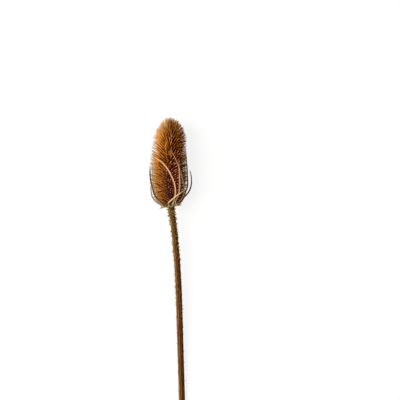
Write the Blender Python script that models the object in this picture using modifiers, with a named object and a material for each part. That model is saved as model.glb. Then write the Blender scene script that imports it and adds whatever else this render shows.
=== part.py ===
"""Dried teasel (thistle-like) seed head on its cut stem, lying on a flat surface.

Metres, +Z up. +Y runs up the stem to the tip of the head, and the origin is under the middle of the
whole, on the surface. Places on the plant are given as a height along its axis, counted from the base
of the head (the stem is below zero), a distance from the axis and an azimuth: 0 is to the right (+X),
90 is up, 180 is to the left and 270 is towards the surface.
"""

import math
import random

import bmesh
import bpy
import numpy as np
from mathutils import Vector

MM = 0.001
WELD = 0.001 * MM

# The axis of the plant: its slope from the surface up to the head, and its bow seen from above as
# points of height and sideways distance in millimetres.
BASE_Y = 50.65 * MM
BASE_HEIGHT = 13.38 * MM
SLOPE = 0.0595
BOW = ((-181, 10.1), (-120, 8.5), (-60, 6.3), (-20, 3), (5, -0.4), (28, -1.4), (80, 1.2))

# The head: outline of the spine tips as points of height and distance from the axis in
# millimetres, the smaller body that they grow from, and how far they lean out from the axis at each
# height in degrees.
HEAD_OUTLINE = (
    (-1.7, 5.5), (1, 9.6), (2.7, 11.3), (5.2, 12.9), (9, 14.2), (15, 15.4), (24, 16.2), (33, 16.2),
    (42, 15.4), (52, 14.6), (60, 13.9), (66, 12.6), (71, 10.6), (75, 7.6), (78, 3.6), (79, 0),
)
CORE_RADIUS = 9.5 * MM
CORE_BASE, CORE_WIDEST, CORE_TOP = 0.36 * MM, 26 * MM, 69 * MM
CORE_BELOW = 30 * MM
CORE_FULLNESS = 2.6
CORE_STEPS, CORE_STATIONS = 20, 13
SPINES = 860
SPINE_LOWEST = 1.2 * MM
SPINE_LEAN = (
    (0, 112), (4, 96), (12, 86), (24, 79), (36, 74), (46, 68), (54, 59), (60, 48), (65, 33), (68, 15),
    (69, 0),
)
SPINE_RADIUS = 0.72 * MM
SPINE_SINK = 1.4 * MM
SPINE_UNEVEN = 0.07
SPINE_SWAY = 3.5
SPINE_SHORTEST, SPINE_LONGEST = 1 * MM, 14 * MM
SPINE_TOLERANCE = 0.01 * MM
SPREAD_STATIONS = 400
GOLDEN_ANGLE = 180 * (3 - math.sqrt(5))

# The stem: radius at each height in millimetres, depths below the head of the close points on its
# flared neck, its ridges, its prickles and its slanting cut.
STEM_LENGTH, STEM_THICKEST = 181 * MM, 2.78 * MM
STEM_RADIUS = (
    (-181, 2.78), (-120, 2.7), (-60, 2.5), (-12, 2.35), (-6, 2.5), (-3.4, 3.1), (-1.8, 4.1),
    (-1.2, 4.4), (0, 4.4),
)
NECK_POINTS = (0, 1.2, 1.8, 2.6, 3.4, 4.6, 6, 9, 12)
STEM_SPAN = 8 * MM
RIDGES = 9
RIDGE_DEPTH = 0.24 * MM
RIDGE_TURN = 40
PRICKLES = 130
PRICKLE_FIRST, PRICKLE_LAST = 4 * MM, 174 * MM
PRICKLE_CROWDING = 1.7
PRICKLE_RADIUS, PRICKLE_LENGTH, PRICKLE_SINK = 0.36 * MM, 1.15 * MM, 0.5 * MM
PRICKLE_SHARES = (0.7, 1.15)
PRICKLE_DROOPS = (-12, 24)
PRICKLE_CLEARANCE = 0.1 * MM
CUT_SLANT = 9
CUT_INSET = 1 * MM

# The long bracts round the base of the head. Each is a width and a root azimuth at the rim, then
# points of height, lift off the outline of the spine tips, and azimuth, all in millimetres and
# degrees. All leave the rim through the same points of height and distance from the axis, and
# narrow alike from root to tip.
BRACT_ROOT = ((-0.75, 4.86), (-1.1, 7.2), (-0.1, 9.8))
BRACT_THICKNESS, BRACT_TIP_THICKNESS = 0.8 * MM, 0.6 * MM
BRACT_RINGS = 18
BRACT_WIDTHS = ((0, 0.72), (0.16, 1), (0.5, 0.86), (0.8, 0.55), (1, 0.24))
BRACTS = {
    "bract_01": (
        1.8, 16,
        ((3, 1.6, 22), (7, 1.4, 25.5), (11, 1.5, 25.5), (15.5, 1.5, 17), (19, 1.4, 15), (25, 1.3, 18),
         (34, 1.3, 20), (43, 1.3, 21), (50, 1.3, 23)),
    ),
    "bract_02": (
        1.6, 336,
        ((3, 1.8, 329), (6, 2, 330), (10.5, 3.4, 341), (16, 4.4, 346), (24, 4.4, 347), (32, 3.2, 345)),
    ),
    "bract_03": (
        1.5, 38,
        ((2.5, 1.3, 42), (5, 1.3, 40), (8.5, 1.3, 35.5), (13, 1.3, 35), (16, 1.3, 36.5), (20, 1.3, 41),
         (24.7, 1.2, 46), (29.5, 1.1, 51), (35.5, 1.1, 59.5), (41, 1.3, 67), (46, 1.3, 76), (51, 1.3, 92)),
    ),
    "bract_04": (
        1.5, 60, ((3, 1.3, 67), (8, 1.3, 61), (16, 1.4, 56.5), (25, 2.3, 59), (33, 2.6, 60), (41, 2.3, 60.5)),
    ),
    "bract_05": (
        1.5, 81,
        ((4, 1.3, 76), (10, 1.3, 71), (18.5, 1.3, 72.5), (27, 1.3, 82), (34, 1.3, 94.5), (39, 1.3, 110),
         (42.7, 1.6, 131), (44.6, 2.4, 158)),
    ),
    "bract_06": (1.6, 101, ((1.2, 1.7, 100), (2.8, 2.8, 97), (5.5, 3.3, 84), (10, 3.6, 64), (15, 3.2, 33))),
    "bract_07": (
        2.2, 130, ((3, 1.6, 132), (8.5, 1.4, 143), (19, 1.3, 154), (27, 1.3, 163), (34.7, 1.3, 166)),
    ),
    "bract_08": (1.2, 171, ((2.6, 2.4, 182), (8, 2.3, 190), (17.8, 1.5, 192))),
    "bract_09": (1.6, 201, ((4, 1.5, 206), (14, 1.4, 209), (26, 1.4, 210), (36, 1.4, 208))),
    "bract_10": (1.5, 231, ((4, 1.3, 229), (12, 1.2, 226), (26, 1.2, 226), (41, 1.3, 228))),
    "bract_11": (1.4, 262, ((2.4, 1.2, 254), (5, 1.1, 244), (9, 1.1, 239), (17, 1.1, 235), (23, 1.1, 234))),
    "bract_12": (1.6, 287, ((4, 1.4, 299), (12, 1.2, 306), (24, 1.2, 308), (33, 1.3, 306))),
    "bract_13": (1.7, 311, ((4, 1.6, 315), (14, 1.5, 320), (30, 1.4, 323), (47, 1.4, 330))),
}

COLOURS = {
    "seed_head": (0.30, 0.13, 0.035, 1),
    "stem": (0.28, 0.15, 0.05, 1),
    "bract": (0.52, 0.34, 0.17, 1),
}
DRY_ROUGHNESS = 0.7
SHARP_ANGLE = math.radians(40)


def smooth(stations, at):
    """A smooth value at this place, through stations given as pairs of place and value."""
    places = [p for p, _ in stations]
    values = [v for _, v in stations]
    at = min(max(at, places[0]), places[-1])
    k = min(max(np.searchsorted(places, at) - 1, 0), len(places) - 2)
    slopes = np.gradient(values, places)
    span = places[k + 1] - places[k]
    t = (at - places[k]) / span
    rise = (2 * t**3 - 3 * t**2 + 1) * values[k] + (3 * t**2 - 2 * t**3) * values[k + 1]
    return float(rise + span * ((t**3 - 2 * t**2 + t) * slopes[k] + (t**3 - t**2) * slopes[k + 1]))


def axis_point(height):
    """The point of the plant's axis at this height along it."""
    bow = smooth(BOW, height / MM) * MM
    return Vector((bow, BASE_Y + height, BASE_HEIGHT + SLOPE * height))


def axis_frame(height):
    """Directions at this height: along the axis, to its right and away from the surface."""
    along = (axis_point(height + MM) - axis_point(height - MM)).normalized()
    right = along.cross(Vector((0, 0, 1))).normalized()
    return along, right, right.cross(along)


def around(height, radius, azimuth):
    """The point at this height, distance from the axis and azimuth in degrees."""
    along, right, up = axis_frame(height)
    turn = math.radians(azimuth)
    return axis_point(height) + radius * (math.cos(turn) * right + math.sin(turn) * up)


def outline(height):
    """Distance of the spine tips from the axis at this height."""
    return smooth(HEAD_OUTLINE, height / MM) * MM


def core_radius(height):
    """Radius of the body that the spines grow from, a long egg with a full middle."""
    reach = CORE_BELOW if height < CORE_WIDEST else CORE_TOP - CORE_WIDEST
    share = min(abs(height - CORE_WIDEST) / reach, 1)
    return CORE_RADIUS * math.sqrt(1 - share**CORE_FULLNESS)


def add_object(name, mesh, collection):
    piece = bpy.data.objects.new(name, mesh)
    collection.objects.link(piece)
    return piece


def mesh_from(bm, name):
    mesh = bpy.data.meshes.new(name)
    bm.to_mesh(mesh)
    bm.free()
    return mesh


def add_spike(name, root, tip, radius, collection):
    """A three-sided needle from root to tip."""
    bm = bmesh.new()
    length = (tip - root).length
    bmesh.ops.create_cone(bm, cap_ends=True, segments=3, radius1=radius, radius2=0, depth=length)
    bmesh.ops.remove_doubles(bm, verts=bm.verts, dist=WELD)
    turn = (tip - root).to_track_quat("Z", "Y").to_matrix().to_4x4()
    turn.translation = (root + tip) / 2
    bm.transform(turn)
    return add_object(name, mesh_from(bm, name), collection)


def final_mesh(piece):
    """The mesh of a piece with its modifiers, or of a curve."""
    bpy.context.view_layer.update()
    graph = bpy.context.evaluated_depsgraph_get()
    return bpy.data.meshes.new_from_object(piece.evaluated_get(graph))


def fuse(piece, repeats):
    """Joins the piece and every object of the collection into one body, and clears the collection."""
    union = piece.modifiers.new("fuse", "BOOLEAN")
    union.operation = "UNION"
    union.solver = "MANIFOLD"
    union.operand_type = "COLLECTION"
    union.collection = repeats
    fused = final_mesh(piece)
    piece.modifiers.clear()
    piece.data = fused
    for repeat in list(repeats.objects):
        bpy.data.objects.remove(repeat)
    bpy.data.collections.remove(repeats)


def spine_places():
    """Heights and azimuths of the spines: evenly spread over the body, a golden angle apart."""
    heights = np.linspace(SPINE_LOWEST, CORE_TOP, SPREAD_STATIONS)
    radii = np.array([core_radius(h) for h in heights])
    bands = (radii[1:] + radii[:-1]) / 2 * np.hypot(np.diff(heights), np.diff(radii))
    area = np.concatenate([[0], np.cumsum(bands)])
    shares = (np.arange(SPINES) + 0.5) / SPINES * area[-1]
    return [(h, n * GOLDEN_ANGLE % 360) for n, h in enumerate(np.interp(shares, area, heights))]


def spine_length(height, radius, lean):
    """Length from the body to the outline of the tips, found by halving."""
    low, high = SPINE_SHORTEST, SPINE_LONGEST
    while high - low > SPINE_TOLERANCE:
        middle = (low + high) / 2
        if radius + middle * math.sin(lean) < outline(height + middle * math.cos(lean)):
            low = middle
        else:
            high = middle
    return low


def make_core(collection):
    """The body of the head: a profile turned about the axis, then bent along the plant's bow."""
    turns = [math.pi / 2 * n / CORE_STATIONS for n in range(1, CORE_STATIONS)]
    above = [CORE_WIDEST + (CORE_TOP - CORE_WIDEST) * math.sin(turn) for turn in turns]
    below = [CORE_WIDEST - (CORE_WIDEST - CORE_BASE) * math.sin(turn) for turn in turns[::2]]
    heights = [CORE_BASE, *reversed(below), CORE_WIDEST, *above]
    profile = [(0, CORE_BASE), *((core_radius(height), height) for height in heights), (0, CORE_TOP)]
    bm = bmesh.new()
    corners = [bm.verts.new((radius, 0, height)) for radius, height in profile]
    for lower, upper in zip(corners, corners[1:]):
        bm.edges.new((lower, upper))
    piece = add_object("core", mesh_from(bm, "core"), collection)
    turning = piece.modifiers.new("turn", "SCREW")
    turning.steps = turning.render_steps = CORE_STEPS
    turning.use_merge_vertices = True
    turning.merge_threshold = WELD
    piece.data = final_mesh(piece)
    piece.modifiers.clear()
    for vertex in piece.data.vertices:
        x, y, height = vertex.co
        vertex.co = around(height, math.hypot(x, y), math.degrees(math.atan2(y, x)))
    return piece


def make_seed_head(collection):
    """The spiny head. Spines that meet the surface are pressed to end on it."""
    draw = random.Random(11)
    head = make_core(collection)
    head.name = "seed_head"
    repeats = bpy.data.collections.new("spines")
    bpy.context.scene.collection.children.link(repeats)
    for n, (height, azimuth) in enumerate(spine_places()):
        radius = core_radius(height)
        lean = math.radians(smooth(SPINE_LEAN, height / MM))
        length = spine_length(height, radius, lean) * (1 + draw.uniform(-1, 1) * SPINE_UNEVEN)
        lean += math.radians(draw.uniform(-1, 1) * SPINE_SWAY)
        sway = math.radians(draw.uniform(-1, 1) * SPINE_SWAY)
        root = around(
            height - SPINE_SINK * math.cos(lean), radius - SPINE_SINK * math.sin(lean), azimuth
        )
        reach = radius + length * math.sin(lean)
        swing = math.degrees(length * math.sin(sway) / max(reach, MM))
        tip = around(height + length * math.cos(lean), reach, azimuth + swing)
        tip.z = max(tip.z, 0)
        add_spike(f"spine_{n}", root, tip, SPINE_RADIUS, repeats)
    fuse(head, repeats)
    return head


def ridge_outline(collection):
    """The stem's cross-section at a radius of 1 m: ridges with shallow grooves between them."""
    ring = bpy.data.curves.new("ridges", "CURVE")
    ring.dimensions = "2D"
    loop = ring.splines.new("POLY")
    corners = 2 * RIDGES
    loop.points.add(corners - 1)
    for n, point in enumerate(loop.points):
        turn = 2 * math.pi * n / corners
        reach = 1 - (n % 2) * RIDGE_DEPTH / STEM_THICKEST
        point.co = (reach * math.cos(turn), reach * math.sin(turn), 0, 1)
    loop.use_cyclic_u = True
    return add_object("ridges", ring, collection)


def stem_route(section, collection):
    """The stem's axis from the cut to the rim under the head, thick as the real one all along."""
    neck = [depth * MM for depth in reversed(NECK_POINTS)]
    steps = int((STEM_LENGTH - neck[0]) / STEM_SPAN)
    depths = [*np.linspace(STEM_LENGTH, neck[0], steps, endpoint=False), *neck]
    route = bpy.data.curves.new("stem_route", "CURVE")
    route.dimensions = "3D"
    route.twist_mode = "MINIMUM"
    route.bevel_mode = "OBJECT"
    route.bevel_object = section
    route.use_fill_caps = True
    line = route.splines.new("POLY")
    line.points.add(len(depths) - 1)
    for depth, point in zip(depths, line.points):
        point.co = (*axis_point(-depth), 1)
        point.radius = smooth(STEM_RADIUS, -depth / MM) * MM
        point.tilt = math.radians(RIDGE_TURN * depth / STEM_LENGTH)
    return add_object("stem_route", route, collection)


def cut_stem(bm):
    """Trims the lower end at a slant, and presses what meets the surface flat on it."""
    along, _, up = axis_frame(-STEM_LENGTH)
    slant = math.radians(CUT_SLANT)
    facing = -(math.cos(slant) * along + math.sin(slant) * up)
    place = axis_point(CUT_INSET - STEM_LENGTH)
    whole = bm.verts[:] + bm.edges[:] + bm.faces[:]
    cut = bmesh.ops.bisect_plane(bm, geom=whole, plane_co=place, plane_no=facing, clear_outer=True)
    rim = [edge for edge in cut["geom_cut"] if isinstance(edge, bmesh.types.BMEdge)]
    bmesh.ops.contextual_create(bm, geom=rim)
    for vertex in bm.verts:
        vertex.co.z = max(vertex.co.z, 0)


def add_prickles():
    """Short prickles all round the stem, closer together towards the head."""
    draw = random.Random(5)
    repeats = bpy.data.collections.new("prickles")
    bpy.context.scene.collection.children.link(repeats)
    for n in range(PRICKLES):
        share = ((n + 0.5) / PRICKLES) ** PRICKLE_CROWDING
        height = -(PRICKLE_FIRST + (PRICKLE_LAST - PRICKLE_FIRST) * share)
        azimuth = n * GOLDEN_ANGLE
        radius = smooth(STEM_RADIUS, height / MM) * MM
        droop = math.radians(draw.uniform(*PRICKLE_DROOPS))
        length = PRICKLE_LENGTH * draw.uniform(*PRICKLE_SHARES)
        root = around(height, radius - PRICKLE_SINK, azimuth)
        tip = around(height - length * math.sin(droop), radius + length * math.cos(droop), azimuth)
        if tip.z > PRICKLE_CLEARANCE:
            add_spike(f"prickle_{n}", root, tip, PRICKLE_RADIUS, repeats)
    return repeats


def make_stem(collection):
    """The ridged stem: its cross-section drawn along its axis, cut, with the prickles fused on."""
    section = ridge_outline(collection)
    route = stem_route(section, collection)
    bm = bmesh.new()
    bm.from_mesh(final_mesh(route))
    bmesh.ops.remove_doubles(bm, verts=bm.verts, dist=WELD)
    cut_stem(bm)
    bmesh.ops.recalc_face_normals(bm, faces=bm.faces)
    bpy.data.objects.remove(route)
    bpy.data.objects.remove(section)
    stem = add_object("stem", mesh_from(bm, "stem"), collection)
    fuse(stem, add_prickles())
    return stem


def bract_route(root_azimuth, points):
    """Points down the middle of a bract as height, radius and azimuth, evenly spaced and smooth."""
    knots = [(h * MM, r * MM, root_azimuth) for h, r in BRACT_ROOT]
    knots += [(h * MM, outline(h * MM) + lift * MM, azimuth) for h, lift, azimuth in points]
    places = [around(*knot) for knot in knots]
    reaches = np.concatenate([[0], np.cumsum([(b - a).length for a, b in zip(places, places[1:])])])
    for reach in np.linspace(0, reaches[-1], BRACT_RINGS):
        yield tuple(smooth(tuple(zip(reaches, column)), reach) for column in zip(*knots))


def make_bract(name, width, root_azimuth, points, collection):
    """One bract: a keeled blade lofted along its route, narrowing from root to tip."""
    route = [(around(*place), place) for place in bract_route(root_azimuth, points)]
    bm = bmesh.new()
    rings = []
    for n, (centre, (height, radius, azimuth)) in enumerate(route):
        before, after = route[max(n - 1, 0)][0], route[min(n + 1, BRACT_RINGS - 1)][0]
        along = (after - before).normalized()
        sideways = (around(height, radius, azimuth + 1) - around(height, radius, azimuth - 1))
        outwards = along.cross(sideways).normalized()
        sideways = outwards.cross(along)
        share = n / (BRACT_RINGS - 1)
        half = width * MM * smooth(BRACT_WIDTHS, share) / 2
        deep = (BRACT_THICKNESS + (BRACT_TIP_THICKNESS - BRACT_THICKNESS) * share) / 2
        corners = (
            centre + sideways * half, centre + outwards * deep, centre - sideways * half,
            centre - outwards * deep,
        )
        rings.append([bm.verts.new(corner) for corner in corners])
    for ring, following in zip(rings, rings[1:]):
        for k in range(4):
            bm.faces.new((ring[k], ring[k - 1], following[k - 1], following[k]))
    bm.faces.new(rings[0])
    bm.faces.new(rings[-1][::-1])
    bmesh.ops.recalc_face_normals(bm, faces=bm.faces)
    return add_object(name, mesh_from(bm, name), collection)


def finish(piece, material):
    """Smooth shading over the gentle curves, and the piece's material."""
    piece.data.shade_smooth()
    piece.data.set_sharp_from_angle(angle=SHARP_ANGLE)
    piece.data.materials.append(material)


def dry_material(name):
    material = bpy.data.materials.new(name)
    material.use_nodes = True
    shader = material.node_tree.nodes["Principled BSDF"]
    shader.inputs["Base Color"].default_value = COLOURS[name]
    shader.inputs["Roughness"].default_value = DRY_ROUGHNESS
    shader.inputs["Metallic"].default_value = 0
    return material


def main():
    for leftover in list(bpy.data.objects):
        bpy.data.objects.remove(leftover)
    plant = bpy.data.collections.new("teasel_seed_head")
    bpy.context.scene.collection.children.link(plant)
    materials = {name: dry_material(name) for name in COLOURS}
    finish(make_seed_head(plant), materials["seed_head"])
    finish(make_stem(plant), materials["stem"])
    for name, (width, root_azimuth, points) in BRACTS.items():
        finish(make_bract(name, width, root_azimuth, points, plant), materials["bract"])


main()
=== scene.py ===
import math
import random
from functools import lru_cache

import bpy
import numpy as np
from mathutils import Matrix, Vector, noise


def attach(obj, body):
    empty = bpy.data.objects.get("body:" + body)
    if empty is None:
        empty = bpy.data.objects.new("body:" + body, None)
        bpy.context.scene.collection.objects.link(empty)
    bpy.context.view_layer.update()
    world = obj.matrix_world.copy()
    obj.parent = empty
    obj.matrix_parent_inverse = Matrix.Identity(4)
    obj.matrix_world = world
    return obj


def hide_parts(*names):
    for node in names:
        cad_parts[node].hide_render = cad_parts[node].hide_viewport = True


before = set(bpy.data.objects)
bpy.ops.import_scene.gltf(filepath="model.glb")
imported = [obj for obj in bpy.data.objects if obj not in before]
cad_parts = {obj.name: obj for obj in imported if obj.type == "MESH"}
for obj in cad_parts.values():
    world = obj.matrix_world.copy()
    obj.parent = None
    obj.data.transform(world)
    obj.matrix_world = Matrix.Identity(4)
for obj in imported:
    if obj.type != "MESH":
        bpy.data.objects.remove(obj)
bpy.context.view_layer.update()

# The stem is the plant's own stalk: a woody tube with blunt ridges, filled with pale pith, dried hard
# and cut with a knife at its lower end. It bows gently and flares into the rim that carries the long
# bracts and the head. Heights are counted along the plant's axis from the base of the head.
MM = 0.001
BASE_Y, BASE_HEIGHT, SLOPE = 50.65 * MM, 13.38 * MM, 0.0595
BOW = ((-181, 10.1), (-120, 8.5), (-60, 6.3), (-20, 3), (5, -0.4), (28, -1.4), (80, 1.2))
STEM_LENGTH = 181 * MM
STEM_RADIUS = (
    (-181, 2.9), (-120, 2.9), (-60, 2.85), (-12, 2.75), (-6, 2.8), (-3.4, 2.95), (-2, 3.4),
    (-1.2, 4.2), (0, 4.4),
)
RIDGES, RIDGE_POINTS, RIDGE_TURN = 9, 10, math.radians(40)
FURROWS = (0, 0.012, 0.045, 0.085, 0.105, 0.11)
STEM_STEP, NECK, NECK_RINGS = 2 * MM, 9 * MM, 19
CUT_SLANT, CUT_INSET = math.radians(9), 1 * MM
WOOD_WALL, PITH_HOLLOW = 0.62 * MM, 0.5 * MM
STEM_WARP, STEM_WARP_NOISE = 0.1 * MM, 320
# How far the stem is painted paler on its left and darker on its right: painted light and painted shade.
PAINTED_LIGHT_SIDE = 0.42
FIBRE_STRETCH, FIBRE_SCALE = (1, 0.03, 1), 2600
BLOTCH_STRETCH, BLOTCH_SCALE = (1, 0.25, 1), 190
SPOT_STRETCH, SPOT_SCALE, SPOT_LIMIT = (1, 0.4, 1), 900, 0.69
OLIVE_FROM, OLIVE_RISE = 0.75, 4
PITH_CELLS = 2600.0


def smooth(stations, at):
    """A smooth value at this place, through stations given as pairs of place and value."""
    places = [p for p, _ in stations]
    values = [v for _, v in stations]
    at = min(max(at, places[0]), places[-1])
    k = min(max(np.searchsorted(places, at) - 1, 0), len(places) - 2)
    slopes = np.gradient(values, places)
    span = places[k + 1] - places[k]
    t = (at - places[k]) / span
    rise = (2 * t**3 - 3 * t**2 + 1) * values[k] + (3 * t**2 - 2 * t**3) * values[k + 1]
    return float(rise + span * ((t**3 - 2 * t**2 + t) * slopes[k] + (t**3 - t**2) * slopes[k + 1]))


@lru_cache(maxsize=None)
def axis_point(height):
    """The point of the plant's axis at this height along it."""
    return Vector((smooth(BOW, height / MM) * MM, BASE_Y + height, BASE_HEIGHT + SLOPE * height))


@lru_cache(maxsize=None)
def axis_frame(height):
    """Directions at this height: along the axis, to its right and away from the surface."""
    along = (axis_point(height + MM) - axis_point(height - MM)).normalized()
    right = along.cross(Vector((0, 0, 1))).normalized()
    return along, right, right.cross(along)


def round_rings(heights, radius):
    """Rings that are as wide as they are deep, from a function that gives their radius."""
    return [(height, radius(height), radius(height)) for height in heights]


def draw_up(rings):
    """Draws the selected outline up through rings, each given as height, width and depth."""
    low, wide, deep = rings[0]
    for high, next_wide, next_deep in rings[1:]:
        bpy.ops.mesh.extrude_region_move(TRANSFORM_OT_translate={"value": (0, 0, high - low)})
        bpy.ops.transform.resize(
            value=(next_wide / wide, next_deep / deep, 1), center_override=(0, 0, high)
        )
        low, wide, deep = high, next_wide, next_deep


def lay(piece, route):
    """Bends a piece that was modelled straight up, so that its height runs along a route."""
    route = lru_cache(maxsize=None)(route)
    for vertex in piece.data.vertices:
        across, out, reach = vertex.co
        centre, sideways, outwards = route(round(reach, 7))
        vertex.co = centre + across * sideways + out * outwards


def pick(piece, wanted):
    """Selects the vertices for which the test holds, with the edges and faces between them."""
    bpy.ops.mesh.select_mode(type="VERT")
    bpy.ops.mesh.select_all(action="DESELECT")
    bpy.ops.object.mode_set(mode="OBJECT")
    for vertex in piece.data.vertices:
        vertex.select = wanted(vertex)
    bpy.ops.object.mode_set(mode="EDIT")


def mark(piece, name, value):
    """Stores a number for each vertex, from a value or from a function of the vertex."""
    layer = piece.data.attributes.get(name) or piece.data.attributes.new(name, "FLOAT", "POINT")
    for vertex, cell in zip(piece.data.vertices, layer.data):
        cell.value = value(vertex) if callable(value) else value


class Amount:
    """A number that varies over a finish, for use in plain arithmetic."""

    def __init__(self, finish, socket):
        self.finish, self.socket = finish, socket

    def maths(self, operation, first, second):
        return self.finish.node("Math", {"operation": operation}, {0: first, 1: second})

    def __add__(self, other):
        return self.maths("ADD", self, other)

    def __radd__(self, other):
        return self.maths("ADD", other, self)

    def __sub__(self, other):
        return self.maths("SUBTRACT", self, other)

    def __rsub__(self, other):
        return self.maths("SUBTRACT", other, self)

    def __mul__(self, other):
        return self.maths("MULTIPLY", self, other)

    def __rmul__(self, other):
        return self.maths("MULTIPLY", other, self)


class Finish:
    """A dry plant surface: a Principled shader and the nodes that feed it."""

    def __init__(self, name, constants):
        self.material = bpy.data.materials.new(name)
        self.material.use_nodes = True
        self.nodes = self.material.node_tree.nodes
        self.links = self.material.node_tree.links
        self.shader = self.nodes["Principled BSDF"]
        for socket, value in constants.items():
            self.shader.inputs[socket].default_value = value

    def node(self, kind, settings=None, inputs=None, output=0):
        """Adds a node, sets it up, then gives its sockets their values or links."""
        node = self.nodes.new("ShaderNode" + kind)
        for key, value in (settings or {}).items():
            if key == "stops":
                while len(node.color_ramp.elements) < len(value):
                    node.color_ramp.elements.new(1)
                for element, (place, colour) in zip(node.color_ramp.elements, value):
                    element.position, element.color = place, (*colour, 1)
            else:
                setattr(node, key, value)
        for key, value in (inputs or {}).items():
            if isinstance(value, Amount):
                self.links.new(value.socket, node.inputs[key])
            else:
                node.inputs[key].default_value = value
        return Amount(self, node.outputs[output])

    def feed(self, socket, amount):
        """Links an amount or a colour to a socket of the shader."""
        self.links.new(amount.socket, self.shader.inputs[socket])

    def stored(self, name):
        """The number that was marked on each vertex under this name."""
        return self.node("Attribute", {"attribute_name": name}, output="Fac")

    def place(self, scale=(1, 1, 1)):
        """Object coordinates, stretched by this much along each axis."""
        whole = self.node("TexCoord", output="Object")
        return self.node("Mapping", {}, {"Vector": whole, "Scale": scale})

    def grain(self, vector, scale, detail=3):
        """Noise from 0 to 1, finer as its scale goes up."""
        inputs = {"Vector": vector, "Scale": scale, "Detail": detail, "Roughness": 0.6}
        return self.node("TexNoise", {}, inputs)

    def ramp(self, amount, *stops):
        """Colours along an amount, each stop given as place and colour."""
        return self.node("ValToRGB", {"stops": stops}, {"Fac": amount})

    def blend(self, amount, first, second):
        """The first colour where the amount is 0 and the second where it is 1."""
        colours = {key: value if isinstance(value, Amount) else (*value, 1)
                   for key, value in ((6, first), (7, second))}
        return self.node("Mix", {"data_type": "RGBA"}, {0: amount, **colours}, output=2)

    def bump(self, height, strength, distance):
        """Fine relief, as deep as this distance."""
        inputs = {"Height": height, "Strength": strength, "Distance": distance}
        self.feed("Normal", self.node("Bump", {}, inputs))


def stem_finish():
    """Olive yellow under the head and pinkish brown below, streaked along its fibres, with painted light
    on its left, painted shade on its right and painted shade in its furrows.
    """
    finish = Finish("dry_stem", {"Specular IOR Level": 0.03})
    fibres = finish.grain(finish.place(FIBRE_STRETCH), FIBRE_SCALE, 4)
    blotches = finish.grain(finish.place(BLOTCH_STRETCH), BLOTCH_SCALE)
    whole = finish.node("TexCoord", output="Object")
    along = finish.node("SeparateXYZ", {}, {"Vector": whole}, output=1)
    height = (along - BASE_Y) * (1 / STEM_LENGTH) + 1
    # The side mark paints light on the stem's left and shade on its right.
    light = finish.stored("side") + (blotches - 0.5) * 0.5 + (fibres - 0.5) * 1.2
    # The furrows are painted darker, as painted shade.
    light = light - finish.stored("furrow") * 0.6 + 0.08
    brown = finish.ramp(
        light, (0.1, (0.016, 0.0045, 0.0003)), (0.35, (0.030, 0.010, 0.001)),
        (0.6, (0.055, 0.022, 0.004)), (0.85, (0.095, 0.046, 0.015)), (1, (0.15, 0.082, 0.036)),
    )
    olive = finish.ramp(
        light, (0.1, (0.018, 0.0065, 0.0005)), (0.35, (0.036, 0.016, 0.0015)),
        (0.6, (0.058, 0.031, 0.005)), (0.85, (0.10, 0.06, 0.016)), (1, (0.15, 0.10, 0.04)),
    )
    upper = (height - OLIVE_FROM) * OLIVE_RISE + (blotches - 0.5) * 0.4
    tone = finish.blend(upper, brown, olive)
    spots = finish.grain(finish.place(SPOT_STRETCH), SPOT_SCALE, 2)
    spotted = finish.node("Math", {"operation": "GREATER_THAN"}, {0: spots, 1: SPOT_LIMIT})
    finish.feed("Base Color", finish.blend(spotted * 0.5, tone, (0.012, 0.005, 0.002)))
    finish.feed("Roughness", 0.5 + fibres * 0.35)
    finish.bump(fibres, 0.5, 0.15 * MM)
    return finish.material


def pith_finish():
    """Pale open pith inside a brown ring of wood, where the stem was cut."""
    finish = Finish("cut_pith", {"Roughness": 0.9, "Specular IOR Level": 0.2})
    cells = finish.node("TexVoronoi", {}, {"Vector": finish.place(), "Scale": PITH_CELLS})
    finish.feed("Base Color", finish.ramp(cells, (0, (0.12, 0.08, 0.04)), (0.5, (0.27, 0.21, 0.14))))
    finish.bump(cells, 0.6, 0.1 * MM)
    return finish.material


def stem_radius(height):
    """Radius over the ridges at this height."""
    return smooth(STEM_RADIUS, height / MM) * MM


def stem_route(reach):
    """The stem's middle, and two directions across it that turn with its ridges."""
    _, right, up = axis_frame(reach - STEM_LENGTH)
    turn = RIDGE_TURN * reach / STEM_LENGTH
    across = math.cos(turn) * right + math.sin(turn) * up
    return axis_point(reach - STEM_LENGTH), across, math.cos(turn) * up - math.sin(turn) * right


def make_stalk():
    """The ridged tube: a ring pinched into furrows, drawn up step by step, and cut at a slant."""
    bpy.ops.object.select_all(action="DESELECT")
    bpy.ops.mesh.primitive_circle_add(
        vertices=RIDGES * RIDGE_POINTS, radius=stem_radius(-STEM_LENGTH), fill_type="NGON"
    )
    stalk = bpy.context.object
    bpy.ops.object.mode_set(mode="EDIT")
    for point, depth in enumerate(FURROWS):
        pick(stalk, lambda v: v.index % RIDGE_POINTS in (point, RIDGE_POINTS - point))
        bpy.ops.transform.resize(value=(1 - depth, 1 - depth, 1), center_override=(0, 0, 0))
    bpy.ops.mesh.select_all(action="SELECT")
    reaches = [*np.arange(0, STEM_LENGTH - NECK, STEM_STEP)]
    reaches += [*np.linspace(STEM_LENGTH - NECK, STEM_LENGTH, NECK_RINGS)]
    draw_up(round_rings(reaches, lambda reach: stem_radius(reach - STEM_LENGTH)))
    bpy.ops.mesh.select_all(action="SELECT")
    bpy.ops.mesh.bisect(
        plane_co=(0, 0, CUT_INSET), plane_no=(-math.sin(CUT_SLANT), 0, -math.cos(CUT_SLANT)),
        clear_outer=True, use_fill=True,
    )
    bpy.ops.mesh.inset(thickness=WOOD_WALL, depth=0)
    bpy.ops.mesh.extrude_region_move(TRANSFORM_OT_translate={"value": (0, 0, PITH_HOLLOW)})
    bpy.ops.object.mode_set(mode="OBJECT")
    stalk.data.materials.append(stem_finish())
    stalk.data.materials.append(pith_finish())
    for face in stalk.data.polygons:
        face.material_index = int(face.select)
    return stalk


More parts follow.
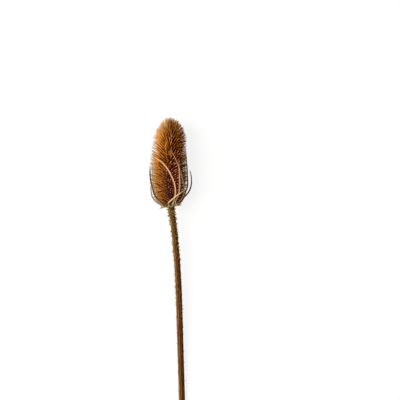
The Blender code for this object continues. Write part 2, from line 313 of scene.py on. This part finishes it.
def furrow(vertex):
    """How deep in a furrow a place on the straight stem lies, from 0 to 1."""
    share = math.hypot(vertex.co.x, vertex.co.y) / stem_radius(vertex.co.z - STEM_LENGTH)
    return min(max((1 - share) / FURROWS[-1], 0), 1)


def paleness(vertex):
    """How much light is painted on the bowed stem's skin here: paler on its left as painted light, darker
    on its right as painted shade.
    """
    height = vertex.co.y - BASE_Y
    beside = vertex.co.x - smooth(BOW, height / MM) * MM
    return 0.5 - PAINTED_LIGHT_SIDE * beside / stem_radius(min(height, 0))


stalk = make_stalk()
mark(stalk, "furrow", furrow)
lay(stalk, stem_route)
# Light is painted on the stem's left and shade on its right.
mark(stalk, "side", paleness)
for vertex in stalk.data.vertices:
    vertex.co += noise.noise_vector(vertex.co * STEM_WARP_NOISE) * STEM_WARP
    vertex.co.z = max(vertex.co.z, 0)

# The prickles are short stiff points that grow out of the stem's skin, broad at the foot and bent a
# little downwards, thick under the head and sparse below, with finer bristles scattered among them.
# They are of one piece with the stem.
GOLDEN_ANGLE = 180 * (3 - math.sqrt(5))
PRICKLES, PRICKLE_CROWDING = 130, 1.7
PRICKLE_FIRST, PRICKLE_LAST = 4 * MM, 174 * MM
PRICKLE_LENGTH, PRICKLE_SHARES, PRICKLE_DROOPS = 1.15 * MM, (0.7, 1.15), (-12, 24)
PRICKLE_SINK, PRICKLE_CLEARANCE = 0.25 * MM, 0.1 * MM
PRICKLE_SIDES, PRICKLE_FOOT, PRICKLE_OVAL = 6, 0.46 * MM, (0.75, 1.2, 1)
PRICKLE_RINGS = (
    (0, 0.46, 0.46), (0.18 * MM, 0.27, 0.27), (0.48 * MM, 0.16, 0.16), (0.78 * MM, 0.1, 0.1),
    (1 * MM, 0.03, 0.03),
)
BRISTLES, BRISTLE_CROWDING = 480, 1.3
BRISTLE_FIRST, BRISTLE_LAST = 3 * MM, 118 * MM
BRISTLE_LENGTH, BRISTLE_SIZES, BRISTLE_FADE, BRISTLE_BENDS = 1.1, (0.55, 1.85), 0.5, (-0.5, 0.3)


def around(height, radius, azimuth):
    """The point at this height, distance from the axis and azimuth: 0 is right and 90 is up."""
    along, right, up = axis_frame(height)
    turn = math.radians(azimuth)
    return axis_point(height) + radius * (math.cos(turn) * right + math.sin(turn) * up)


def copy_of(piece):
    """A copy with its own mesh."""
    twin = piece.copy()
    twin.data = piece.data.copy()
    bpy.context.scene.collection.objects.link(twin)
    return twin


def join(name, pieces):
    """Joins the pieces into the first, under this name, with all faces pointing out."""
    bpy.ops.object.select_all(action="DESELECT")
    for piece in pieces:
        piece.select_set(True)
    bpy.context.view_layer.objects.active = pieces[0]
    bpy.ops.object.join()
    whole = bpy.context.object
    whole.name = whole.data.name = name
    bpy.ops.object.mode_set(mode="EDIT")
    bpy.ops.mesh.select_all(action="SELECT")
    bpy.ops.mesh.normals_make_consistent(inside=False)
    bpy.ops.object.mode_set(mode="OBJECT")
    return whole


def make_prickle():
    """One prickle, a millimetre long: an oval foot drawn up to a point."""
    bpy.ops.object.select_all(action="DESELECT")
    bpy.ops.mesh.primitive_circle_add(vertices=PRICKLE_SIDES, radius=PRICKLE_FOOT, fill_type="NGON")
    prickle = bpy.context.object
    bpy.ops.object.mode_set(mode="EDIT")
    bpy.ops.transform.resize(value=PRICKLE_OVAL, center_override=(0, 0, 0))
    draw_up(PRICKLE_RINGS)
    bpy.ops.object.mode_set(mode="OBJECT")
    mark(prickle, "sharp", lambda v: v.co.z / MM)
    return prickle


def prickle_finish():
    """Brown at the foot like the stem, and dark at the point."""
    finish = Finish("dry_prickle", {"Roughness": 0.6, "Specular IOR Level": 0.1})
    grain = finish.grain(finish.place(), 2500)
    tone = finish.ramp(
        finish.stored("sharp") + (grain - 0.5) * 0.3, (0, (0.08, 0.038, 0.008)),
        (0.5, (0.09, 0.045, 0.011)), (1, (0.035, 0.014, 0.004)),
    )
    finish.feed("Base Color", tone)
    return finish.material


def grow(prickle, height, azimuth, tip, stout=1):
    """A copy of the prickle from under the skin to this tip, or none if it would touch the floor."""
    if tip.z <= PRICKLE_CLEARANCE:
        return []
    foot = around(height, stem_radius(height) - PRICKLE_SINK, azimuth)
    out = (tip - foot).normalized()
    along = axis_frame(height)[0]
    upwards = (along - out * out.dot(along)).normalized()
    across = upwards.cross(out)
    reach = (tip - foot).length / MM
    twin = copy_of(prickle)
    lay(twin, lambda z: (foot + out * z * reach, across * stout, upwards * stout))
    return [twin]


prickle = make_prickle()
prickle.data.materials.append(prickle_finish())
draw = random.Random(5)
grown = []
for n in range(PRICKLES):
    share = ((n + 0.5) / PRICKLES) ** PRICKLE_CROWDING
    height = -(PRICKLE_FIRST + (PRICKLE_LAST - PRICKLE_FIRST) * share)
    azimuth = n * GOLDEN_ANGLE
    droop = math.radians(draw.uniform(*PRICKLE_DROOPS))
    length = PRICKLE_LENGTH * draw.uniform(*PRICKLE_SHARES)
    reach = stem_radius(height) + length * math.cos(droop)
    tip = around(height - length * math.sin(droop), reach, azimuth)
    grown += grow(prickle, height, azimuth, tip)
for n in range(BRISTLES):
    share = draw.random() ** BRISTLE_CROWDING
    height = -(BRISTLE_FIRST + (BRISTLE_LAST - BRISTLE_FIRST) * share)
    azimuth = draw.uniform(0, 360)
    size = draw.uniform(*BRISTLE_SIZES) * (1 - BRISTLE_FADE * share)
    reach = stem_radius(height) + size * BRISTLE_LENGTH * MM
    tip = around(height + draw.uniform(*BRISTLE_BENDS) * MM, reach, azimuth)
    grown += grow(prickle, height, azimuth, tip, size)
bpy.data.objects.remove(prickle)
stalk = join("stalk", [stalk, *grown])
stalk.data.shade_smooth()
stalk.data.set_sharp_from_angle(angle=math.radians(50))
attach(stalk, "root")
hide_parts("stem")

# The body of the head is the egg-shaped receptacle, hidden under everything that grows from it. It
# sits on the rim of the stem and was one with it while the plant grew.
CORE_RADIUS, CORE_FULLNESS = 9.5 * MM, 2.6
CORE_BASE, CORE_WIDEST, CORE_TOP, CORE_BELOW = 0.36 * MM, 26 * MM, 69 * MM, 30 * MM
BED_SIDES, BED_RINGS, BED_CLOSED = 60, 48, 0.999
BED_ROUGH, BED_NOISE = 0.35 * MM, 700
# Light is painted on the head's left side up to an uneven border, less at the top, and shade on the rest.
LIT_BORDER = ((0, 0.4), (24, 0.17), (36, 0), (48, -0.03), (56, 0.15), (62, 0.3), (73, 0.35))
LIT_SPREAD, LIT_EDGE, LIT_TOP, LIT_TOP_LOSS = 0.8, (-0.15, 0.19), (52 * MM, 72 * MM), 0.65


def core_radius(height):
    """Radius of the body that the spines grow from, a long egg with a full middle."""
    reach = CORE_BELOW if height < CORE_WIDEST else CORE_TOP - CORE_WIDEST
    share = min(abs(height - CORE_WIDEST) / reach, 1)
    return CORE_RADIUS * math.sqrt(1 - share**CORE_FULLNESS)


def step(value, low, high):
    """Rises smoothly from 0 to 1 between two values."""
    share = min(max((value - low) / (high - low), 0), 1)
    return share * share * (3 - 2 * share)


def sunned(height, azimuth, chance):
    """How much light is painted here: the head's left side is painted lit, with an uneven border."""
    side = -math.cos(math.radians(azimuth)) - smooth(LIT_BORDER, height / MM)
    lit_paint = step(side + (chance - 0.5) * LIT_SPREAD, *LIT_EDGE)
    return lit_paint * (1 - LIT_TOP_LOSS * step(height, *LIT_TOP))


def core_finish():
    """Dark red-brown scales and chaff, deep between the spines, as painted shade, and orange brown on the
    head's left as painted light.
    """
    finish = Finish("seed_bed", {"Roughness": 0.85, "Specular IOR Level": 0.2})
    chaff = finish.grain(finish.place(), 1500, 4)
    # The first ramp is painted shade, for the dark side; the second is painted light, for the head's lit
    # left side.
    shaded = finish.ramp(chaff, (0.3, (0.008, 0.002, 0.0015)), (0.75, (0.04, 0.012, 0.006)))
    lit_paint = finish.ramp(chaff, (0.3, (0.03, 0.007, 0.0006)), (0.75, (0.11, 0.03, 0.002)))
    finish.feed("Base Color", finish.blend(finish.stored("sunned"), shaded, lit_paint))
    finish.bump(chaff, 0.8, 0.3 * MM)
    return finish.material


def axis_route(height):
    """The plant's axis at this height, and the directions to its right and up."""
    return axis_point(height), *axis_frame(height)[1:]


def make_bed():
    """The egg: a ring drawn up from the rim of the stem, widened, and closed at the top."""
    bpy.ops.object.select_all(action="DESELECT")
    bpy.ops.mesh.primitive_circle_add(
        vertices=BED_SIDES, radius=core_radius(CORE_BASE), fill_type="NGON", location=(0, 0, CORE_BASE)
    )
    bed = bpy.context.object
    bpy.ops.object.transform_apply()
    bpy.ops.object.mode_set(mode="EDIT")
    turns = np.linspace(0, math.pi / 2, BED_RINGS)
    draw_up(round_rings(CORE_BASE + (CORE_TOP * BED_CLOSED - CORE_BASE) * np.sin(turns), core_radius))
    bpy.ops.object.mode_set(mode="OBJECT")
    # Light is painted on the bed's left side and shade on the rest.
    mark(bed, "sunned", lambda v: sunned(v.co.z, math.degrees(math.atan2(v.co.y, v.co.x)), 0.5))
    lay(bed, axis_route)
    for vertex in bed.data.vertices:
        vertex.co += noise.noise_vector(vertex.co * BED_NOISE) * BED_ROUGH
    return join("seed_bed", [bed])


bed = make_bed()
bed.data.materials.append(core_finish())
bed.data.shade_smooth()
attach(bed, "root")
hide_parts("seed_head")

# The spines are the tips of stiff keeled scales that stand in spirals all over the head: a boat-shaped
# foot that held a seed, drawn out into a straight needle. Those under the head are bent up by the
# surface they lie on, and a ruff of straw-coloured chaff stands out round its base.
HEAD_OUTLINE = (
    (-0.6, 4.5), (1.1, 7.2), (2.8, 9.8), (4.4, 11.5), (7, 13.2), (10, 14.3), (15, 15.4), (24, 16.2),
    (33, 16.2), (42, 15.4), (52, 14.6), (60, 13.9), (66, 12.6), (71, 10.6), (75, 7.6), (78, 3.6),
    (79, 0),
)
SPINES, SPINE_LOWEST, SPREAD_STATIONS = 1540, 1.2 * MM, 400
SPINE_LEAN = (
    (0, 112), (4, 98), (12, 89), (24, 83), (36, 78), (46, 71), (54, 63), (60, 52), (65, 35),
    (68, 15), (69, 0),
)
SPINE_SHORTEST, SPINE_LONGEST, SPINE_TOLERANCE = 1 * MM, 14 * MM, 0.01 * MM
SPINE_CROWDING = ((0, 1.1), (46, 1), (58, 1.4), (64, 2.2), (69, 4.5))
SPINE_UNEVEN, SPINE_SWAY, SPINE_SINK, SPINE_EXTRA = 0.1, 5.5, 0.8 * MM, 0.7 * MM
LEFT_EXTRA, TOP_EXTRA, TOP_FROM = 0.9 * MM, -0.9 * MM, (56 * MM, 68 * MM)
CHAFF, CHAFF_TURN, CHAFF_SWING = 110, 1.3, (-12, 12)
CHAFF_ROOTS, CHAFF_TIPS = (0.5 * MM, 2.4 * MM), (7.5 * MM, 12 * MM)
CHAFF_DROPS = (-1.9 * MM, 1.3 * MM)
SCALE_DROP, SCALE_CLEARANCE, SCALE_SPREAD, KEEL = 1.7 * MM, 0.4, 0.35, 0.6 * MM
SCALE_RINGS = (
    (0, 0.75, 0.27), (0.14, 0.85, 0.29), (0.3, 0.5, 0.27), (0.43, 0.3, 0.23), (0.6, 0.25, 0.2),
    (0.86, 0.21, 0.18), (0.96, 0.14, 0.12), (1, 0.03, 0.03),
)
ROSE_TOP, ROSE_FADE, ROSE_MIDDLE, ROSE_REACH, ROSE_RAGGED = 44 * MM, 12 * MM, 90, (28, 56), 24
FLANK_SHARPNESS, STRAW_HEIGHT = 6, 5 * MM


def outline(height):
    """Distance of the spine tips from the axis at this height."""
    return smooth(HEAD_OUTLINE, height / MM) * MM


def spine_places():
    """Heights and azimuths of the spines: a golden angle apart, and closer together at the top."""
    heights = np.linspace(SPINE_LOWEST, CORE_TOP, SPREAD_STATIONS)
    radii = np.array([core_radius(h) for h in heights])
    crowding = np.array([smooth(SPINE_CROWDING, h / MM) for h in heights[1:]])
    bands = crowding * (radii[1:] + radii[:-1]) / 2 * np.hypot(np.diff(heights), np.diff(radii))
    area = np.concatenate([[0], np.cumsum(bands)])
    shares = (np.arange(SPINES) + 0.5) / SPINES * area[-1]
    return [(float(h), n * GOLDEN_ANGLE % 360) for n, h in enumerate(np.interp(shares, area, heights))]


def spine_length(height, radius, lean):
    """Length from the body to the outline of the tips, found by halving."""
    low, high = SPINE_SHORTEST, SPINE_LONGEST
    while high - low > SPINE_TOLERANCE:
        middle = (low + high) / 2
        if radius + middle * math.sin(lean) < outline(height + middle * math.cos(lean)):
            low = middle
        else:
            high = middle
    return low


def make_scale():
    """One scale, of unit height: a keeled four-sided boat drawn up into a needle."""
    bpy.ops.object.select_all(action="DESELECT")
    bpy.ops.mesh.primitive_circle_add(vertices=4, radius=MM, fill_type="NGON")
    scale = bpy.context.object
    bpy.ops.object.mode_set(mode="EDIT")
    pick(scale, lambda v: abs(v.co.x) > MM / 2)
    bpy.ops.transform.translate(value=(0, -KEEL, 0))
    bpy.ops.mesh.select_all(action="SELECT")
    bpy.ops.transform.resize(value=(*SCALE_RINGS[0][1:], 1), center_override=(0, 0, 0))
    draw_up(SCALE_RINGS)
    bpy.ops.object.mode_set(mode="OBJECT")
    mark(scale, "along", lambda v: v.co.z)
    return scale


def spine_finish():
    """Nearly black at the foot, its own dark brown deepened there as painted shade between the spines; the
    needle is orange brown where light is painted on the head's left, umber in painted shade on its right,
    or maroon, with a pale tan tip, and painted paler on the flanks.
    """
    finish = Finish("dry_spine", {"Specular IOR Level": 0.0})
    mottle = finish.grain(finish.place(), 1300)
    spot = finish.stored("along") + (finish.stored("shade") - 0.5) * 0.4 + (mottle - 0.5) * 0.2
    # Every ramp is darkest at the foot: the spine's own dark brown, deepened as painted shade between the
    # spines.
    amber = finish.ramp(
        spot, (0.2, (0.05, 0.011, 0.0006)), (0.42, (0.28, 0.074, 0.0022)),
        (0.6, (0.48, 0.155, 0.005)), (0.78, (0.38, 0.17, 0.04)), (1, (0.28, 0.17, 0.095)),
    )
    umber = finish.ramp(
        spot, (0.2, (0.008, 0.0018, 0.0002)), (0.5, (0.045, 0.010, 0.0006)),
        (0.72, (0.088, 0.022, 0.0013)), (0.86, (0.10, 0.034, 0.005)), (1, (0.12, 0.06, 0.02)),
    )
    maroon = finish.ramp(
        spot, (0.2, (0.013, 0.0012, 0.0004)), (0.5, (0.085, 0.008, 0.0022)),
        (0.72, (0.18, 0.019, 0.005)), (0.86, (0.28, 0.07, 0.034)), (1, (0.42, 0.21, 0.14)),
    )
    straw = finish.ramp(
        spot, (0.1, (0.03, 0.016, 0.002)), (0.5, (0.15, 0.10, 0.02)), (0.9, (0.33, 0.25, 0.10)),
    )
    lit_paint = finish.ramp(
        spot, (0.4, (0.12, 0.045, 0.007)), (0.6, (0.145, 0.092, 0.042)), (1, (0.14, 0.105, 0.066)),
    )
    # Umber is painted shade on the head's right and maroon its purple patch; amber is painted light on its
    # left side.
    shaded = finish.blend(finish.stored("rose"), umber, maroon)
    tone = finish.blend(finish.stored("sunned"), shaded, amber)
    # The flanks are painted paler, most of all on the lit left side, as painted light.
    paled_flanks = finish.stored("flank") * (0.12 + finish.stored("sunned") * 0.75)
    tone = finish.blend(paled_flanks, tone, lit_paint)
    finish.feed("Base Color", finish.blend(finish.stored("low"), tone, straw))
    finish.feed("Roughness", 0.5 + mottle * 0.35)
    finish.bump(mottle, 0.4, 0.1 * MM)
    return finish.material


def rosy(height, azimuth, chance):
    """How far this spine kept its purple: a patch on the front, from the base to the middle."""
    top = step(ROSE_TOP - height + (chance - 0.5) * 2 * ROSE_FADE, -ROSE_FADE, ROSE_FADE)
    side = abs((azimuth - ROSE_MIDDLE + 180) % 360 - 180) + (chance - 0.5) * ROSE_RAGGED
    return top * (1 - step(side, *ROSE_REACH))


def scale_route(root, tip, along, stout):
    """The scale's middle line: its foot starts lower on the head and its needle curves up to its tip."""
    reach = tip - root
    out = reach.normalized()
    lift = (along - out * out.dot(along)).normalized()
    sideways = lift.cross(out) * -1

    def route(share):
        centre = root + reach * share - lift * SCALE_DROP * (1 - share) ** 2
        centre.z = max(centre.z, (1 - share) * SCALE_CLEARANCE * MM)
        return centre, sideways * stout, -lift * stout

    return route


def stand(scale, height, root, tip, stout, marks):
    """A copy of the scale on its root, with its colour marks, bent up where it meets the floor."""
    tip.z = max(tip.z, 0)
    spine = copy_of(scale)
    lay(spine, scale_route(root, tip, axis_frame(height)[0], stout))
    for name, value in marks.items():
        mark(spine, name, value)
    return spine


def make_spines():
    """All the spines of the head and the chaff at its base, joined into one piece."""
    draw = random.Random(11)
    tint = random.Random(3)
    scale = make_scale()
    spines = []
    for height, azimuth in spine_places():
        radius = core_radius(height)
        facing = math.cos(math.radians(azimuth))
        lean = math.radians(smooth(SPINE_LEAN, height / MM))
        length = spine_length(height, radius, lean) * (1 + draw.uniform(-1, 1) * SPINE_UNEVEN)
        length += SPINE_EXTRA + TOP_EXTRA * step(height, *TOP_FROM)
        length += LEFT_EXTRA * max(-facing, 0) ** 2
        lean += math.radians(draw.uniform(-1, 1) * SPINE_SWAY)
        sway = math.radians(draw.uniform(-1, 1) * SPINE_SWAY)
        depth = radius - SPINE_SINK * math.sin(lean)
        root = around(height - SPINE_SINK * math.cos(lean), depth, azimuth)
        reach = radius + length * math.sin(lean)
        swing = math.degrees(length * math.sin(sway) / max(reach, MM))
        tip = around(height + length * math.cos(lean), reach, azimuth + swing)
        marks = {
            "shade": tint.random(),
            # painted light on the head's left side
            "sunned": sunned(height, azimuth, tint.random()),
            "flank": abs(facing) ** FLANK_SHARPNESS,
            "rose": rosy(height, azimuth, tint.random()),
            "low": max(1 - height / STRAW_HEIGHT, 0),
        }
        spines.append(stand(scale, height, root, tip, 1 + SCALE_SPREAD * facing**2, marks))
    for n in range(CHAFF):
        azimuth = n * GOLDEN_ANGLE * CHAFF_TURN
        height, reach = draw.uniform(*CHAFF_ROOTS), draw.uniform(*CHAFF_TIPS)
        root = around(height, core_radius(height) - SPINE_SINK, azimuth)
        drop = draw.uniform(*CHAFF_DROPS)
        tip = around(drop, reach, azimuth + draw.uniform(*CHAFF_SWING))
        marks = {"shade": tint.random(), "sunned": 0, "flank": 0, "rose": 0, "low": 1}
        spines.append(stand(scale, height, root, tip, 1, marks))
    bpy.data.objects.remove(scale)
    return join("spines", spines)


spines = make_spines()
spines.data.materials.append(spine_finish())
spines.data.shade_smooth()
spines.data.set_sharp_from_angle(angle=math.radians(55))
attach(spines, "root")
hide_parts("seed_head")

# The long bracts grow from the rim under the head and curve up round it: narrow channelled blades
# with a keel on the outside, each straw-pale to olive brown by its own darkness, its outer face
# painted darker as painted shade.
# Each is one stiff fibrous strip with a few small prickles on its keel and edges.
BRACT_ROOT = ((-0.6, 3.9, 0), (-0.75, 4.9, 0.3), (-0.9, 7.2, 1.1), (0.2, 9.8, 1.8))
BRACT_WIDTHS = ((0, 0.8), (0.1, 0.72), (0.2, 0.68), (0.5, 0.6), (0.8, 0.45), (0.94, 0.32), (1, 0.1))
BRACT_DEPTHS = ((0, 1), (0.7, 0.85), (1, 0.35))
BLADE_COLUMNS, BLADE_ROWS, BRACT_THICKNESS, BRACT_CHANNEL = 6, 56, 0.32 * MM, 0.6 * MM
CHANNEL_FOLDS = ((0.4, 0.3), (0.25, 0.38), (0.1, 0.32))
TWIST_PACE, ROUTE_STEP = 1.4, 0.01
THORNS, THORNS_FROM, THORNS_OVER, THORN_STRAY = 12, 0.12, 0.76, 0.7
THORN_SIZES, THORN_WIDTH, THORN_BEND = (0.35, 0.6), 0.5, 0.5
THORN_LEAN, THORN_EDGE, THORN_STEP = 0.4, 0.9, 0.02
# Each bract: width, root azimuth, points of height, lift and azimuth, twist and darkness.
BRACTS = {
    "bract_01": (
        3.2, 16,
        ((3, 1.6, 22), (7, 1.4, 25.5), (11, 1.5, 25.5), (15.5, 1.5, 17), (19, 1.4, 15), (25, 1.3, 18),
         (34, 1.3, 20), (43, 1.3, 21), (50, 1.3, 23)),
        50, 1,
    ),
    "bract_02": (
        2.1, 336,
        ((3, 1.8, 329), (6, 2, 330), (10.5, 3.4, 341), (16, 4.4, 346), (24, 4.4, 347), (32, 3.2, 345)),
        60, 0.9,
    ),
    "bract_03": (
        1.5, 38,
        ((2.5, 1.3, 42), (5, 1.3, 40), (8.5, 1.3, 35.5), (13, 1.3, 35), (16, 1.3, 36.5), (20, 1.3, 41),
         (24.7, 1.2, 46), (29.5, 1.1, 51), (35.5, 1.1, 59.5), (41, 1.3, 67), (46, 1.3, 76), (51, 1.3, 92)),
        0, 0.75,
    ),
    "bract_04": (
        1.7, 60,
        ((3, 1.3, 67), (8, 1.3, 61), (16, 1.4, 56.5), (25, 2.3, 59), (33, 2.6, 60), (41, 2.3, 60.5)),
        0, 0.1,
    ),
    "bract_05": (
        1.9, 81,
        ((4, 1.3, 76), (10, 1.3, 71), (18.5, 1.3, 72.5), (27, 1.3, 82), (34, 1.3, 94.5), (39, 1.3, 110),
         (42.7, 2.3, 131), (44.9, 3.5, 156)),
        0, 0.05,
    ),
    "bract_06": (
        1.7, 101, ((1.2, 1.7, 100), (2.8, 2.8, 97), (5.5, 3.3, 84), (10, 3.6, 64), (15, 3.2, 33)), 45, 0,
    ),
    "bract_07": (
        3, 130, ((3.4, 1.4, 133), (8.5, 1.4, 143), (19, 1.3, 154), (27, 1.3, 163), (34.7, 1.3, 166)),
        -65, 1,
    ),
    "bract_08": (1.7, 171, ((3.8, 1.2, 182), (8, 2.3, 190), (17.8, 1.7, 192)), -65, 0.9),
    "bract_09": (1.6, 201, ((4, 1.5, 206), (14, 1.4, 209), (26, 1.4, 210), (36, 1.4, 208)), 0, 0.6),
    "bract_10": (1.5, 231, ((4, 1.3, 229), (12, 1.2, 226), (26, 1.2, 226), (41, 1.3, 228)), 0, 0.4),
    "bract_11": (
        1.4, 262, ((2.4, 1.2, 254), (5, 1.1, 244), (9, 1.1, 239), (17, 1.1, 235), (23, 1.1, 234)),
        0, 0.3,
    ),
    "bract_12": (1.6, 287, ((4, 1.4, 299), (12, 1.2, 306), (24, 1.2, 308), (33, 1.3, 306)), 0, 0.5),
    "bract_13": (1.7, 311, ((4, 1.6, 315), (14, 1.5, 320), (30, 1.4, 323), (47, 1.4, 330)), 0, 0.8),
}


def make_blade():
    """A straight blade of unit height and width: a grid pressed into a channel and given thickness."""
    bpy.ops.object.select_all(action="DESELECT")
    bpy.ops.mesh.primitive_grid_add(
        x_subdivisions=BLADE_COLUMNS, y_subdivisions=BLADE_ROWS, size=1, location=(0, 0, 0.5),
        rotation=(math.pi / 2, 0, 0),
    )
    blade = bpy.context.object
    bpy.ops.object.transform_apply()
    bpy.ops.object.mode_set(mode="EDIT")
    for inside, press in CHANNEL_FOLDS:
        pick(blade, lambda v: abs(v.co.x) < inside)
        bpy.ops.transform.translate(value=(0, press * BRACT_CHANNEL, 0))
    bpy.ops.object.mode_set(mode="OBJECT")
    mark(blade, "across", lambda v: v.co.x * 2)
    mark(blade, "along", lambda v: v.co.z)
    thick = blade.modifiers.new("thickness", "SOLIDIFY")
    thick.thickness = BRACT_THICKNESS
    thick.offset = 0
    bpy.ops.object.modifier_apply(modifier=thick.name)
    # The outer face is marked to be painted darker, as painted shade.
    mark(blade, "outer", lambda v: 1 if v.normal.y > 0 else 0)
    mark(blade, "dark", 0)
    return blade


def bract_finish():
    """Straw, pinkish tan or olive brown, with darker fibres along it and a brown tip; the outer face
    painted darker as painted shade.
    """
    finish = Finish("dry_bract", {"Specular IOR Level": 0.0})
    along, across, dark = finish.stored("along"), finish.stored("across"), finish.stored("dark")
    strip = finish.node("CombineXYZ", {}, {"X": across, "Y": along * 1.3, "Z": dark * 7})
    fibres = finish.grain(strip, 9, 4)
    specks = finish.grain(finish.place(), 700)
    spot = along + (specks - 0.5) * 0.3
    straw = finish.ramp(
        spot, (0, (0.09, 0.052, 0.012)), (0.14, (0.22, 0.14, 0.065)), (0.6, (0.29, 0.18, 0.10)),
        (0.9, (0.25, 0.145, 0.07)), (1, (0.14, 0.065, 0.025)),
    )
    olive = finish.ramp(
        spot, (0, (0.05, 0.032, 0.008)), (0.4, (0.022, 0.0145, 0.0045)), (1, (0.017, 0.011, 0.0035)),
    )
    # The outer face takes all of the bract's darkness and the inner face half: painted shade on the outer
    # face.
    tone = finish.blend(dark * (0.5 + finish.stored("outer") * 0.5), straw, olive)
    finish.feed("Base Color", finish.blend((fibres - 0.5) * 1.3, tone, (0.05, 0.02, 0.006)))
    finish.feed("Roughness", 0.42 + fibres * 0.3)
    finish.bump(fibres, 0.5, 0.12 * MM)
    return finish.material


def bract_route(root_azimuth, points, twist):
    """The middle line of a bract, and the directions across it and out from the head."""
    side = math.cos(math.radians(root_azimuth)) ** 2
    knots = [((h + rise * side) * MM, r * MM, root_azimuth) for h, r, rise in BRACT_ROOT]
    knots += [(h * MM, outline(h * MM) + lift * MM, azimuth) for h, lift, azimuth in points]
    places = [around(*knot) for knot in knots]
    reaches = np.concatenate([[0], np.cumsum([(b - a).length for a, b in zip(places, places[1:])])])

    def place(share):
        reach = min(max(share, 0), 1) * reaches[-1]
        return [smooth(tuple(zip(reaches, column)), reach) for column in zip(*knots)]

    @lru_cache(maxsize=None)
    def route(share):
        height, radius, azimuth = place(share)
        along = (around(*place(share + ROUTE_STEP)) - around(*place(share - ROUTE_STEP))).normalized()
        sideways = around(height, radius, azimuth - 1) - around(height, radius, azimuth + 1)
        outwards = sideways.cross(along).normalized() * -1
        sideways = outwards.cross(along)
        turn = math.radians(twist) * math.sin(math.pi * min(share * TWIST_PACE, 1) / 2)
        return (
            around(height, radius, azimuth), sideways * math.cos(turn) + outwards * math.sin(turn),
            outwards * math.cos(turn) - sideways * math.sin(turn),
        )

    return route


def lay_blade(blade, width, route):
    """Narrows a blade to its tip and bends it along its route."""
    for vertex in blade.data.vertices:
        share = vertex.co.z
        vertex.co.x *= width * MM * smooth(BRACT_WIDTHS, share)
        vertex.co.y *= smooth(BRACT_DEPTHS, share)
    lay(blade, lambda z: route(round(z, 6)))


def set_thorn(thorn, width, route, share, side, size):
    """A copy of the thorn at this share of the bract, on its keel (side 0) or an edge (side -1 or 1)."""
    centre, sideways, outwards = route(round(share, 6))
    half = width * MM * smooth(BRACT_WIDTHS, share) / 2
    out = (outwards * (THORN_LEAN if side else 1) + sideways * side).normalized()
    foot = centre + sideways * side * half * THORN_EDGE + outwards * (0 if side else BRACT_CHANNEL)
    up = (route(round(share + THORN_STEP, 6))[0] - centre).normalized()
    across = up.cross(out).normalized() * THORN_WIDTH
    thick = up * THORN_WIDTH
    twin = copy_of(thorn)
    lay(twin, lambda z: (foot + out * z * size + up * z * size * THORN_BEND, across, thick))
    mark(twin, "along", share)
    return twin


def make_bract(name, blade, thorn, width, root_azimuth, points, twist, dark):
    """One long bract with its thorns, joined into one piece."""
    draw = random.Random(name)
    route = bract_route(root_azimuth, points, twist)
    bract = copy_of(blade)
    lay_blade(bract, width, route)
    parts = [bract]
    for n in range(THORNS):
        share = THORNS_FROM + THORNS_OVER * (n + draw.random() * THORN_STRAY) / THORNS
        side = draw.choice((-1, 0, 1))
        size = draw.uniform(*THORN_SIZES)
        parts.append(set_thorn(thorn, width, route, share, side, size))
    for part in parts:
        mark(part, "dark", dark)
    whole = join("long_" + name, parts)
    whole.data.shade_smooth()
    whole.data.set_sharp_from_angle(angle=math.radians(60))
    return whole


blade = make_blade()
thorn = make_prickle()
finish = bract_finish()
for name, (width, root_azimuth, points, twist, dark) in BRACTS.items():
    bract = make_bract(name, blade, thorn, width, root_azimuth, points, twist, dark)
    bract.data.materials.append(finish)
    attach(bract, "root")
    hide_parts(name)
bpy.data.objects.remove(blade)
bpy.data.objects.remove(thorn)

# The studio is a wide pale floor under an even pale sky, with one large soft lamp high on the left.
# The floor gives off a little light of its own, which keeps it white. The camera looks straight down
# on the plant as it lies.
CAMERA_PLACE, CAMERA_HEIGHT, LENS = (26.5 * MM, 55.6 * MM), 1.015, 100
FLOOR_SIZE, FLOOR_DROP = 6, -0.0001
FLOOR_COLOUR, FLOOR_GLOW, HAZE = 0.055, 0.84, 0.985
LAMP_PLACE, LAMP_TARGET = Vector((-0.62, 0.1, 0.75)), Vector((0, 0.04, 0.012))
LAMP_SIZE, LAMP_POWER, LAMP_COLOUR = 0.8, 42, (1, 0.97, 0.92)
SKY_COLOUR, SKY_STRENGTH = (1, 1, 1, 1), 1.25


def floor_finish():
    """Even pale paper, with a very slight haze in it."""
    finish = Finish(
        "pale_floor", {"Roughness": 0.9, "Specular IOR Level": 0.0, "Emission Strength": FLOOR_GLOW}
    )
    haze = finish.grain(finish.place(), 40)
    paper = finish.ramp(haze, (0.3, (FLOOR_COLOUR * HAZE,) * 3), (0.7, (FLOOR_COLOUR,) * 3))
    finish.feed("Base Color", paper)
    finish.feed("Emission Color", finish.ramp(haze, (0.3, (0.99, 0.99, 0.99)), (0.7, (1, 1, 1))))
    return finish.material


bpy.ops.object.select_all(action="DESELECT")
bpy.ops.mesh.primitive_plane_add(size=FLOOR_SIZE, location=(0, 0, FLOOR_DROP))
floor = bpy.context.object
floor.name = "floor"
floor.data.materials.append(floor_finish())

sky = bpy.data.worlds.new("pale_sky")
sky.use_nodes = True
sky.node_tree.nodes["Background"].inputs["Color"].default_value = SKY_COLOUR
sky.node_tree.nodes["Background"].inputs["Strength"].default_value = SKY_STRENGTH
bpy.context.scene.world = sky

bpy.ops.object.light_add(type="AREA", location=LAMP_PLACE)
lamp = bpy.context.object
lamp.name = "soft_lamp"
lamp.data.size = LAMP_SIZE
lamp.data.energy = LAMP_POWER
lamp.data.color = LAMP_COLOUR
lamp.rotation_euler = (LAMP_TARGET - LAMP_PLACE).to_track_quat("-Z", "Y").to_euler()

bpy.ops.object.camera_add(location=(*CAMERA_PLACE, CAMERA_HEIGHT), rotation=(0, 0, 0))
camera = bpy.context.object
camera.data.lens = LENS
bpy.context.scene.camera = camera
bpy.context.scene.view_settings.view_transform = "Standard"
